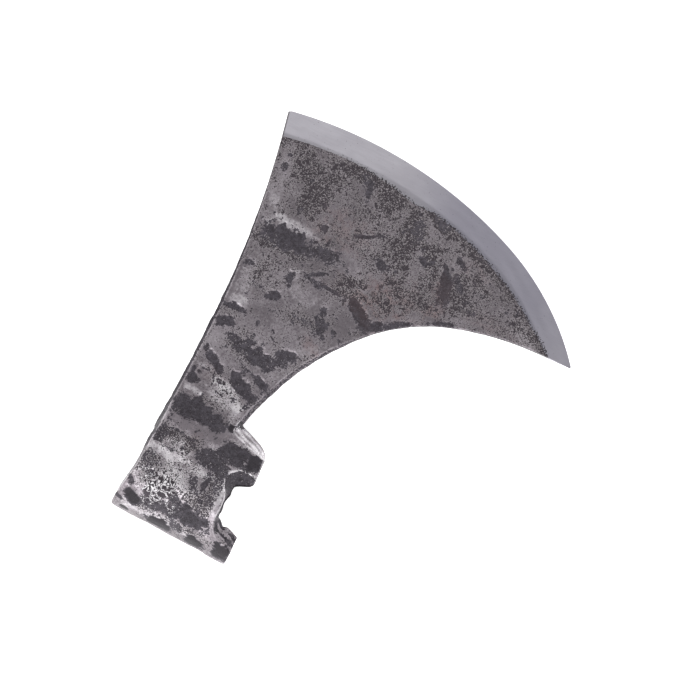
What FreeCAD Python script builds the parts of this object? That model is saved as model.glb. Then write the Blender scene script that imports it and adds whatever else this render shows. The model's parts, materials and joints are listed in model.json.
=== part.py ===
# Hand-forged broad axe head with a bearded blade, in millimetres.
#
# The head is forge-welded from three pieces. Two iron cheeks are lapped at the poll, shaped round
# the haft eye and welded to each other from the front of the eye forward. A crescent-shaped steel
# bit is welded into the cleft between them and carries the ground cutting edge.
#
# The origin is the centre of the haft eye. +X runs from the poll to the cutting edge, +Y runs along
# the eye to the top of the head, and +Z is square to the blade, out of the upper cheek.
import FreeCAD, Part
import math
import os

Vector = FreeCAD.Vector

# Haft eye: a round bore in a tube whose outside leans back, so the poll is thickest at the lugs.
BORE_RADIUS = 17.0
EYE_RADIUS_TOP = 24.2
EYE_RADIUS_LOW = 24.8
EYE_LEAN = 2.0                  # how far the tube's low end lies behind its top end
EYE_TOP = 31.0                  # above the top edge, which trims it
NOTCH_RIM = -17.5               # rim of the tube between the two lugs
FRONT_LUG_END = -26.5
REAR_LUG_END = -30.5
FRONT_LUG_HALF_ANGLE = 48.0     # half the arc of tube wall that each lug keeps, in degrees
REAR_LUG_HALF_ANGLE = 44.0
NOTCH_CORNER_DEPTH = 5.5
NOTCH_CORNER_SHARE = 0.35       # share of the notch's half width that each rounded corner takes

# Nose: the front wall of the eye, a blunt wedge that draws in towards the end of the front lug.
NOSE_HIGH = -5.0                # hidden in the blade's neck
NOSE_RIDGE_HIGH = 30.6
NOSE_TIP_HIGH = 36.2
NOSE_RIDGE_LOW = 25.2
NOSE_TIP_LOW = 28.6
NOSE_HALF_WIDTH = 10.4

# Side view: the top edge is two arcs, hollow along its length.
TOP_REAR = (-30.0, 30.6)
TOP_REAR_MID = (20.0, 27.4)
TOP_LOW = (80.0, 25.9)
TOP_FRONT_MID = (140.0, 30.0)
TOE = (180.6, 37.4)

# Side view: the cutting edge is two arcs that meet without a corner.
EDGE_CENTRE = (-31.5, -2.8)
EDGE_RADIUS = 216.4
EDGE_TURN_ANGLE = -22.3         # where the tighter arc of the beard takes over, in degrees
EDGE_LOW_RADIUS = 132.4
EDGE_ENDS = (25.0, -75.0)       # directions from the centres, beyond the toe and beyond the heel
HEEL = (128.8, -137.9)

# Side view: the hollow underside of the blade, each arc running on from the one before.
BLADE_ROOT = (36.0, -9.6)
BEARD_START_DIRECTION = (1.0, -0.227)
BEARD_POINTS = [(98.6, -43.1), (120.6, -77.7), (127.8, -137.6)]

# Side view: the front lug's outline.
LUG_SHOULDER = (29.0, -24.6)
LUG_CORNER = (27.4, -26.0)
LUG_TIP = (24.8, FRONT_LUG_END)

# Seen along the eye: half the blade's thickness at a distance from the eye's centre.
NECK_START = (13.5, 20.0)
NECK_HOLLOW = (24.5, 12.6)
NECK_END = (47.7, 4.9)
BLADE_END = (200.0, 2.7)

# Steel bit: an arrow-shaped section whose tongue lies in the cleft between the cheeks.
BEVEL_WIDTH = 12.5
BEVEL_HALF_THICKNESS = 2.25
EDGE_HALF_THICKNESS = 0.25
SHOULDER_HALF_THICKNESS = 1.4
TONGUE_LENGTH = 21.0
TONGUE_HALF_THICKNESS = 0.4
BEVEL_SLOPE = (BEVEL_HALF_THICKNESS - EDGE_HALF_THICKNESS) / BEVEL_WIDTH
CUTTER_BEHIND = 6.0             # how far the bevel's cutters reach behind the bevel
CUTTER_AHEAD = 1.0              # and in front of the edge

# Scarf at the poll, where the upper cheek laps over the lower one.
LAP_INSIDE = -14.0
LAP_OUTSIDE = (-32.0, -10.0)

FAR = 300.0                     # beyond every part of the head
CLEAR = 60.0                    # beyond the head's thickness


def side_point(xy, z=0.0):
    """A point of the side view, at a height above the blade's middle plane."""
    return Vector(xy[0], xy[1], z)


def plan_point(xz, y=0.0):
    """A point of the view along the eye, at a height along the eye."""
    return Vector(xz[0], y, xz[1])


def polygon(points):
    return Part.makePolygon(points + points[:1])


def prism(wire, direction):
    return Part.Face(wire).extrude(direction)


def arc(start, middle, end):
    return Part.Arc(side_point(start), side_point(middle), side_point(end)).toShape()


def tangent_arc(start, direction, end):
    """The arc from start to end that leaves start in a direction, and the direction it ends in."""
    chord = end - start
    heading = Vector(direction).normalize()
    normal = chord - heading * chord.dot(heading)
    normal.normalize()
    radius = chord.Length ** 2 / (2 * chord.dot(normal))
    centre = start + normal * radius
    middle = centre + ((start + end) / 2 - centre).normalize() * radius
    end_direction = chord * (2 * heading.dot(chord) / chord.Length ** 2) - heading
    return Part.Arc(start, middle, end).toShape(), end_direction


def edge_arcs():
    """(centre, radius, first angle, last angle) of the two arcs of the cutting edge, in degrees."""
    turn = math.radians(EDGE_TURN_ANGLE)
    inward = EDGE_RADIUS - EDGE_LOW_RADIUS
    low_centre = (EDGE_CENTRE[0] + inward * math.cos(turn), EDGE_CENTRE[1] + inward * math.sin(turn))
    return [
        (EDGE_CENTRE, EDGE_RADIUS, EDGE_TURN_ANGLE, EDGE_ENDS[0]),
        (low_centre, EDGE_LOW_RADIUS, EDGE_ENDS[1], EDGE_TURN_ANGLE),
    ]


def on_circle(centre, radius, degrees):
    angle = math.radians(degrees)
    return (centre[0] + radius * math.cos(angle), centre[1] + radius * math.sin(angle))


def angle_of(centre, point):
    return math.degrees(math.atan2(point[1] - centre[1], point[0] - centre[0]))


def cutting_edge():
    """The edge from toe to heel, with both ends set exactly on their arcs."""
    (high_centre, high_radius, turn, _), (low_centre, low_radius, _, _) = edge_arcs()
    toe_angle = angle_of(high_centre, TOE)
    heel_angle = angle_of(low_centre, HEEL)
    toe = on_circle(high_centre, high_radius, toe_angle)
    heel = on_circle(low_centre, low_radius, heel_angle)
    corner = on_circle(high_centre, high_radius, turn)
    edges = [
        arc(toe, on_circle(high_centre, high_radius, (toe_angle + turn) / 2), corner),
        arc(corner, on_circle(low_centre, low_radius, (turn + heel_angle) / 2), heel),
    ]
    return toe, heel, edges


def beard_curve():
    """The underside from the blade's root to the heel, as arcs that run on from one another."""
    start = side_point(BLADE_ROOT)
    direction = Vector(BEARD_START_DIRECTION[0], BEARD_START_DIRECTION[1], 0)
    edges = []
    for point in BEARD_POINTS:
        end = side_point(point)
        edge, direction = tangent_arc(start, direction, end)
        edges.append(edge)
        start = end
    return edges


def outline_prism():
    """Everything inside the head's outline in side view."""
    toe, heel, edge = cutting_edge()
    rear_low = (TOP_REAR[0], REAR_LUG_END)
    step = [(0.0, FRONT_LUG_END), (0.0, REAR_LUG_END)]
    low = [BLADE_ROOT, LUG_SHOULDER, LUG_CORNER, LUG_TIP, *step, rear_low, TOP_REAR]
    edges = [arc(TOP_REAR, TOP_REAR_MID, TOP_LOW), arc(TOP_LOW, TOP_FRONT_MID, toe), *edge]
    edges.append(Part.makeLine(side_point(heel), side_point(BEARD_POINTS[-1])))
    edges += beard_curve()
    edges += [Part.makeLine(side_point(a), side_point(b)) for a, b in zip(low, low[1:])]
    wire = Part.Wire(Part.__sortEdges__(edges))
    wire.translate(Vector(0, 0, -CLEAR))
    return prism(wire, Vector(0, 0, 2 * CLEAR))


def blade_block():
    """The blade and its neck, from their thickness as seen along the eye."""
    start = plan_point(NECK_START)
    hollow = plan_point(NECK_HOLLOW)
    end = plan_point(NECK_END)
    neck, direction = tangent_arc(hollow, hollow - start, end)
    flank, _ = tangent_arc(end, direction, plan_point(BLADE_END))
    upper = [Part.makeLine(start, hollow), neck, flank]
    lower = [edge.mirror(Vector(0, 0, 0), Vector(0, 0, 1)) for edge in upper]
    ends = [
        Part.makeLine(plan_point((x, z)), plan_point((x, -z))) for x, z in (NECK_START, BLADE_END)
    ]
    wire = Part.Wire(Part.__sortEdges__(upper + lower + ends))
    wire.translate(Vector(0, -FAR / 2, 0))
    block = prism(wire, Vector(0, FAR, 0))
    under_root = Part.makeBox(FAR, FAR, 2 * CLEAR, Vector(BLADE_ROOT[0] - FAR, BLADE_ROOT[1] - FAR, -CLEAR))
    return block.cut(under_root)


def nose_section(y, ridge, tip):
    """The front wall of the eye at a height: flanks tangent to the tube, then a blunt wedge."""
    tube = EYE_RADIUS_TOP
    reach = math.hypot(ridge, NOSE_HALF_WIDTH)
    angle = math.atan2(NOSE_HALF_WIDTH, ridge) + math.acos(tube / reach)
    root = (tube * math.cos(angle), tube * math.sin(angle))
    ring = [root, (ridge, NOSE_HALF_WIDTH), (tip, 0.0), (ridge, -NOSE_HALF_WIDTH), (root[0], -root[1])]
    return polygon([plan_point(point, y) for point in ring])


def eye_block():
    """The tube round the eye, before it is bored, with its nose and front lug."""
    rings = [
        Part.makeCircle(EYE_RADIUS_LOW, Vector(-EYE_LEAN, REAR_LUG_END, 0), Vector(0, 1, 0)),
        Part.makeCircle(EYE_RADIUS_TOP, Vector(0, EYE_TOP, 0), Vector(0, 1, 0)),
    ]
    tube = Part.makeLoft([Part.Wire(ring) for ring in rings], True, True)
    sections = [
        nose_section(FRONT_LUG_END, NOSE_RIDGE_LOW, NOSE_TIP_LOW),
        nose_section(NOSE_HIGH, NOSE_RIDGE_HIGH, NOSE_TIP_HIGH),
    ]
    return tube.fuse(Part.makeLoft(sections, True, True))


def notch_section(z):
    """The notch at a distance from the blade's middle plane. Its sides point at the eye's axis."""
    front = z / math.tan(math.radians(FRONT_LUG_HALF_ANGLE))
    rear = -z / math.tan(math.radians(REAR_LUG_HALF_ANGLE))
    near = 1 - math.sqrt(0.5)
    turn = NOTCH_RIM - NOTCH_CORNER_DEPTH
    mid = NOTCH_RIM - NOTCH_CORNER_DEPTH * near
    low = REAR_LUG_END - CLEAR
    edges = []
    for side in (front, rear):
        sharp = NOTCH_CORNER_SHARE * side
        corner = [(side, turn), (side - sharp * near, mid), (side - sharp, NOTCH_RIM)]
        edges.append(Part.Arc(*[Vector(x, y, z) for x, y in corner]).toShape())
        edges.append(Part.makeLine(Vector(side, turn, z), Vector(side, low, z)))
    for y, share in ((low, 1.0), (NOTCH_RIM, 1 - NOTCH_CORNER_SHARE)):
        edges.append(Part.makeLine(Vector(share * front, y, z), Vector(share * rear, y, z)))
    return Part.Wire(Part.__sortEdges__(edges))


def notch_cutters():
    """What is cut out of the eye's wall between the lugs, on both sides of the head."""
    inside = BORE_RADIUS / 3
    upper = Part.makeLoft([notch_section(inside), notch_section(CLEAR)], True, True)
    return [upper, upper.mirror(Vector(0, 0, 0), Vector(0, 0, 1))]


def around_edge(section, extra=0.0):
    """Revolves a section, given as (depth behind the edge, height), along both arcs of the edge."""
    found = None
    for centre, radius, first, last in edge_arcs():
        points = [Vector(centre[0] + radius - depth, centre[1], z) for depth, z in section]
        face = Part.Face(polygon(points))
        axis_point = Vector(centre[0], centre[1], 0)
        face.rotate(axis_point, Vector(0, 0, 1), first)
        piece = face.revolve(axis_point, Vector(0, 0, 1), last - first)
        found = piece if found is None else found.fuse(piece)
    return found.removeSplitter()


def bevel_cutters():
    """What grinding the bevel takes off each face."""
    behind = BEVEL_WIDTH + CUTTER_BEHIND
    ahead = -CUTTER_AHEAD
    heights = [EDGE_HALF_THICKNESS + BEVEL_SLOPE * depth for depth in (behind, ahead)]
    section = [(behind, heights[0]), (ahead, heights[1]), (ahead, CLEAR), (behind, CLEAR)]
    upper = around_edge(section)
    return [upper, upper.mirror(Vector(0, 0, 0), Vector(0, 0, 1))]


def bit_block():
    """The steel bit before its ends are trimmed to the head's outline."""
    half = [
        (0.0, EDGE_HALF_THICKNESS),
        (BEVEL_WIDTH, BEVEL_HALF_THICKNESS),
        (BEVEL_WIDTH, SHOULDER_HALF_THICKNESS),
        (BEVEL_WIDTH + TONGUE_LENGTH, TONGUE_HALF_THICKNESS),
    ]
    return around_edge(half + [(depth, -z) for depth, z in reversed(half)])


def upper_side():
    """The space of the upper cheek: above the weld, and round the outside of the lap at the poll."""
    ring = [(FAR, 0.0), (LAP_INSIDE, 0.0), LAP_OUTSIDE, (LAP_OUTSIDE[0], CLEAR), (FAR, CLEAR)]
    wire = polygon([plan_point(point, -FAR / 2) for point in ring])
    return prism(wire, Vector(0, FAR, 0))


def one_solid(shape):
    """The single solid that a shape has to be."""
    assert len(shape.Solids) == 1, len(shape.Solids)
    return shape.Solids[0]


def make_head():
    """The three pieces of the head, by node name."""
    outline = outline_prism()
    body = eye_block().fuse(blade_block()).common(outline)
    bore = Part.makeCylinder(BORE_RADIUS, FAR, Vector(0, -FAR / 2, 0), Vector(0, 1, 0))
    for tool in [bore, *notch_cutters(), *bevel_cutters()]:
        body = body.cut(tool)
    bit = one_solid(body.common(bit_block()))
    cheeks = body.cut(bit)
    upper = upper_side()
    return {
        "upper_cheek": one_solid(cheeks.common(upper).removeSplitter()),
        "lower_cheek": one_solid(cheeks.cut(upper).removeSplitter()),
        "steel_bit": bit.removeSplitter(),
    }


def main():
    os.makedirs("parts", exist_ok=True)
    for name, solid in make_head().items():
        solid.exportStep(f"parts/{name}.step")
        box = solid.BoundBox
        size = f"{box.XLength:.1f} x {box.YLength:.1f} x {box.ZLength:.1f}"
        print(f"{name}: {size} mm, {solid.Volume / 1000:.1f} cm3, valid {solid.isValid()}")


main()
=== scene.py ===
import json
import math

import bpy
import numpy as np
from mathutils import Matrix, Vector, kdtree, noise
from mathutils.geometry import delaunay_2d_cdt


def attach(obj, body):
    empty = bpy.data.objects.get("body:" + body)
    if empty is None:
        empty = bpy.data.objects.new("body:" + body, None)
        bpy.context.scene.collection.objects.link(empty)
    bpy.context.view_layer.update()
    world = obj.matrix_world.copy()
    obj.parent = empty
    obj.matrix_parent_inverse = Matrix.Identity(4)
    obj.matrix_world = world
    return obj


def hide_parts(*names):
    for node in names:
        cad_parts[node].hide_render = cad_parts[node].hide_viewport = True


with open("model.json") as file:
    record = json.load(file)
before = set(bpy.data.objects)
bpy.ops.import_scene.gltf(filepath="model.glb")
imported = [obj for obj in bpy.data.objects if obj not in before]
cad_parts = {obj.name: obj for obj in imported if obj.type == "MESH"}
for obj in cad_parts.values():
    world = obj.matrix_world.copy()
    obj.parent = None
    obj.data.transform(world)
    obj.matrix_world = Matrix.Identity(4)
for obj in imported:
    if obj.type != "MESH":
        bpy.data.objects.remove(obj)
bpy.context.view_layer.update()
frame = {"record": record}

MM = 0.001
GRID = 0.62          # spacing of the skin's points
WALL_ROWS = 12                              # rows of faces from the skin's rim inwards
BEVEL_ROWS = 22       # rows of faces from the cutting edge to the shoulder
TONGUE_ROWS = 8                             # rows of faces down the bit's tongue
FRONT_POINTS = 36                           # down the front of the bore
BORE_GRID, WELD_GRID = 1.4, 7.0             # spacing of the points inside those sheets
RIM_RINGS = (0.22, 0.5, 0.95)               # rings of points this far inside the skin's rim
PROUD, PIT_DEPTH = 0.25, 0.14               # how far the skin may stand out, and its pits go in

# ---- sizes of the forging, as in the CAD model ----
BORE = frame["record"]["mounts"][0]["dims"]["r_mm"]
EYE_RADIUS = 24.5               # mean outside radius of the eye, which unrolls the rear of the skin
EYE_RADIUS_TOP, EYE_RADIUS_LOW = 24.2, 24.8
EYE_TOP, REAR_LUG_END, FRONT_LUG_END = 31.0, -30.5, -26.4
EYE_LEAN = 2.0
LAP_OUTSIDE = math.radians(14.5)            # how far the upper cheek laps round the poll
LAP_INSIDE = math.radians(5.5)
NOSE_HIGH = -5.0
NOSE_DRAW = 5.4                             # how much the front lug narrows towards its end
# Each: x, half the thickness of neck and blade there, and its slope.
FLANK = [(13.5, 20.0, -0.67), (24.5, 12.6, -0.67), (47.7, 4.9, -0.058), (200.0, 2.7, 0.03)]
TOP_LOW = (80.0, 26.0)                      # lowest point of the top edge
TOP_REAR_RADIUS, TOP_FRONT_RADIUS = 1301.6, 453.9
TOE = (180.6, 37.2)
HEEL = (128.4, -137.8)
BLADE_ROOT = (36.0, -9.6)
BEARD_DIRECTION = (1.0, -0.227)
BEARD_POINTS = [(98.6, -43.1), (120.6, -77.7), (127.7, -137.4)]
EDGE_CENTRE, EDGE_RADIUS = (-31.5, -2.8), 216.4
EDGE_TURN = math.radians(-22.3)
EDGE_LOW_RADIUS = 132.4
BEVEL, BEVEL_HALF, SHOULDER_HALF = 12.5, 2.2, 1.4
EDGE_HALF = 0.2
TONGUE_DEPTH, TONGUE_HALF = 33.5, 0.4

# Rim of the notch between the lugs on the outside of the wall, and on the bore, from front to rear.
NOTCH_OUTSIDE = [
    (14.8, -26.4), (15.9, -24.5), (16.2, -22.0), (15.5, -17.8), (12.6, -14.6), (9.6, -13.7),
    (6.2, -14.6), (2.7, -16.6), (-1.0, -17.5), (-5.0, -17.6), (-9.5, -17.4), (-13.2, -18.2),
    (-16.6, -21.0), (-18.4, -24.4), (-19.0, -27.4), (-21.0, -30.4),
]
NOTCH_INSIDE = [
    (12.6, -26.3), (11.4, -25.1), (10.4, -22.8), (9.4, -20.4), (8.2, -18.7), (6.0, -18.4), (3.8, -18.6),
    (0.8, -17.8), (-2.0, -17.5), (-5.0, -17.9), (-7.8, -18.2), (-8.9, -20.0), (-11.0, -22.2),
    (-10.6, -24.3), (-11.6, -27.4), (-12.8, -30.4),
]
NOTCH_STEPS = 110
# Side of the front lug: the ridge where the cheek turns to the front wall, and the wall's middle line.
LUG_RIDGE = [
    (33.0, -6.6), (31.0, -6.4), (29.7, -9.0), (28.6, -12.0), (27.6, -15.6), (26.4, -20.0), (24.9, -25.4),
]
LUG_MIDDLE = [
    (35.4, -10.2), (34.8, -11.6), (34.0, -14.2), (32.2, -18.8), (30.4, -22.6), (28.0, -25.2), (25.0, -26.4),
]
LUG_CORNER = (20.0, FRONT_LUG_END)          # of the front lug's underside, towards the notch
TOP_JOIN = 30.0                             # x where the eye's top passes into the blade's top edge


# ---- small tools ----

def smooth(t):
    t = np.clip(t, 0.0, 1.0)
    return t * t * (3.0 - 2.0 * t)


def ripple(points, size, seed=0.0):
    """Smooth noise, about -0.5 to 0.5, with bumps of about the given size in millimetres."""
    shift = Vector((seed * 17.3, seed * 5.1, seed * 9.7))
    return np.array([noise.noise(Vector(p) / size + shift) for p in points])


def smooth_line(points, count):
    """A smooth line through points, as count points spaced evenly along it."""
    p = np.array(points, float)
    ends = np.vstack([2 * p[0] - p[1], p, 2 * p[-1] - p[-2]])
    fine = []
    for i in range(1, len(ends) - 2):
        a, b, c, d = ends[i - 1:i + 3]
        for t in np.linspace(0, 1, 12, endpoint=False):
            fine.append(0.5 * (2 * b + (c - a) * t + (2 * a - 5 * b + 4 * c - d) * t * t
                               + (3 * b - a - 3 * c + d) * t ** 3))
    return even(np.array(fine + [p[-1]]), count)


def run_length(line):
    return np.concatenate([[0.0], np.cumsum(np.linalg.norm(np.diff(line, axis=0), axis=1))])


def even(line, count):
    """The same line as count points spaced evenly along it."""
    along = run_length(line)
    at = np.linspace(0, along[-1], count)
    return np.column_stack([np.interp(at, along, column) for column in line.T])


def steps(line, spacing=GRID):
    return max(3, int(run_length(line)[-1] / spacing) + 1)


# ---- side view ----

def top_edge(x):
    radius = np.where(x < TOP_LOW[0], TOP_REAR_RADIUS, TOP_FRONT_RADIUS)
    return TOP_LOW[1] + (x - TOP_LOW[0]) ** 2 / (2 * radius)


def arc_on(start, direction, end):
    """The arc that leaves start in a direction and reaches end, and the direction it ends in."""
    start, end = np.array(start, float), np.array(end, float)
    heading = np.array(direction, float)
    heading /= np.linalg.norm(heading)
    chord = end - start
    half_turn = math.atan2(heading[0] * chord[1] - heading[1] * chord[0], heading @ chord)
    radius = np.linalg.norm(chord) / (2 * math.sin(half_turn))
    centre = start + radius * np.array([-heading[1], heading[0]])
    arm = start - centre
    points = []
    for angle in np.linspace(0, 2 * half_turn, 60):
        c, s = math.cos(angle), math.sin(angle)
        points.append(centre + (arm[0] * c - arm[1] * s, arm[0] * s + arm[1] * c))
    final = 2 * (heading @ chord) / (chord @ chord) * chord - heading
    return np.array(points), final


def beard_line():
    """The hollow underside of the blade, from its root to the heel."""
    start, direction, line = BLADE_ROOT, BEARD_DIRECTION, []
    for end in BEARD_POINTS:
        points, direction = arc_on(start, direction, end)
        line.append(points[:-1])
        start = end
    return np.vstack(line + [[BEARD_POINTS[-1]]])


def edge_parts():
    """Centre and radius of the cutting edge's upper arc and of its lower arc."""
    inward = (EDGE_RADIUS - EDGE_LOW_RADIUS) * np.array([math.cos(EDGE_TURN), math.sin(EDGE_TURN)])
    return [(np.array(EDGE_CENTRE), EDGE_RADIUS), (np.array(EDGE_CENTRE) + inward, EDGE_LOW_RADIUS)]


def edge_depth(points):
    """How far points of the side view lie behind the cutting edge."""
    (high, high_radius), (low, low_radius) = edge_parts()
    arm = points - low
    upper = np.arctan2(arm[:, 1], arm[:, 0]) > EDGE_TURN
    from_high = high_radius - np.linalg.norm(points - high, axis=1)
    from_low = low_radius - np.linalg.norm(arm, axis=1)
    return np.where(upper, from_high, from_low)


def bevel_depth(y):
    """How wide the ground bevel is: about BEVEL, a little more or less along the edge."""
    heights = [-128, -112, -88, -60, -48, -37, -22, 0, 30]
    return BEVEL + np.interp(y, heights, [-3.0, 0.0, 0.6, 0.4, 0.9, 3.2, 1.8, 0.5, 0.7])


def no_depth(y):
    """The depth that makes depth_line follow the cutting edge itself."""
    return 0.0 * y


def depth_line(depth, count):
    """The line at a depth, given as a function of y, behind the edge, from the top down to the beard."""
    x = np.linspace(100, TOE[0], 2000)
    top = np.column_stack([x, top_edge(x)])
    beard = even(beard_line(), 2000)[1000:]
    start, end = (line[np.argmin(np.abs(edge_depth(line) - depth(line[:, 1])))] for line in (top, beard))
    if depth is no_depth:
        start, end = np.array(TOE), np.array(HEEL)
    (high, high_radius), (low, low_radius) = edge_parts()
    first = math.atan2(*(start - high)[::-1])
    last = math.atan2(*(end - low)[::-1])
    line = [start]
    arcs = (high, high_radius, first, EDGE_TURN), (low, low_radius, EDGE_TURN, last)
    for centre, radius, start_angle, end_angle in arcs:
        for angle in np.linspace(start_angle, end_angle, 80)[1:]:
            arm = np.array([math.cos(angle), math.sin(angle)])
            line.append(centre + (radius - depth(centre[1] + (radius - BEVEL) * arm[1])) * arm)
    line[-1] = end
    return even(np.array(line), count)


# ---- section of the head, seen along the eye ----

def flank(x):
    """Half the thickness of neck and blade."""
    knots = np.array(FLANK)
    i = np.clip(np.searchsorted(knots[:, 0], x) - 1, 0, len(knots) - 2)
    x0, h0, s0 = knots[i].T
    x1, h1, s1 = knots[i + 1].T
    width = x1 - x0
    t = (x - x0) / width
    curve = ((1 + 2 * t) * (1 - t) ** 2 * h0 + t * (1 - t) ** 2 * s0 * width
             + t * t * (3 - 2 * t) * h1 + t * t * (t - 1) * s1 * width)
    return np.where(t < 0, h0 + s0 * (x - x0), curve)


def tube(y):
    """How far the eye's outside circle is off the origin, and its radius, at a height."""
    t = (EYE_TOP - y) / (EYE_TOP - REAR_LUG_END)
    return -EYE_LEAN * t, EYE_RADIUS_TOP + (EYE_RADIUS_LOW - EYE_RADIUS_TOP) * t


def half_thickness(x, y):
    offset, radius = tube(y)
    drawn = NOSE_DRAW * smooth((NOSE_HIGH - y) / (NOSE_HIGH - FRONT_LUG_END))
    drawn = drawn * (1 - smooth((x - 34.0) / 8.0))
    part = smooth((x - 6.0) / 14.0)
    round_part = np.sqrt(np.clip(radius ** 2 - (x - offset) ** 2, 0, None))
    return round_part * (1 - part) + flank(x + drawn) * part


def skin(flat):
    """Points of the outside, from (distance along the section, height). Negative distances go
    round the eye to the poll; positive ones are x itself."""
    u, y = flat[:, 0], flat[:, 1]
    offset, radius = tube(y)
    turn = np.clip(-u, 0, None) / EYE_RADIUS
    x = np.where(u < 0, offset - radius * np.sin(turn), u + offset * (1 - smooth(u / 13.5)))
    z = np.where(u < 0, radius * np.cos(turn), half_thickness(x, y))
    return np.column_stack([x, y, z])


def unroll(points):
    """The inverse of skin, for points given by x and y."""
    x, y = points[:, 0], points[:, 1]
    offset, radius = tube(y)
    round_part = -EYE_RADIUS * np.arcsin(np.clip((offset - x) / radius, 0, 1))
    return np.column_stack([np.where(x < offset, round_part, x - offset * (1 - smooth(x / 13.5))), y])


def skin_normals(flat):
    h = 0.4
    across = skin(flat + (h, 0)) - skin(flat - (h, 0))
    up = skin(flat + (0, h)) - skin(flat - (0, h))
    normal = np.cross(across, up)
    return normal / np.linalg.norm(normal, axis=1)[:, None]


def cleft(points):
    """Half the gap between the cheeks, which the bit's tongue fills."""
    depth = edge_depth(points)
    slope = (SHOULDER_HALF - TONGUE_HALF) / (TONGUE_DEPTH - BEVEL)
    return np.where(depth < TONGUE_DEPTH, TONGUE_HALF + slope * (TONGUE_DEPTH - depth), 0.0)


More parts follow.
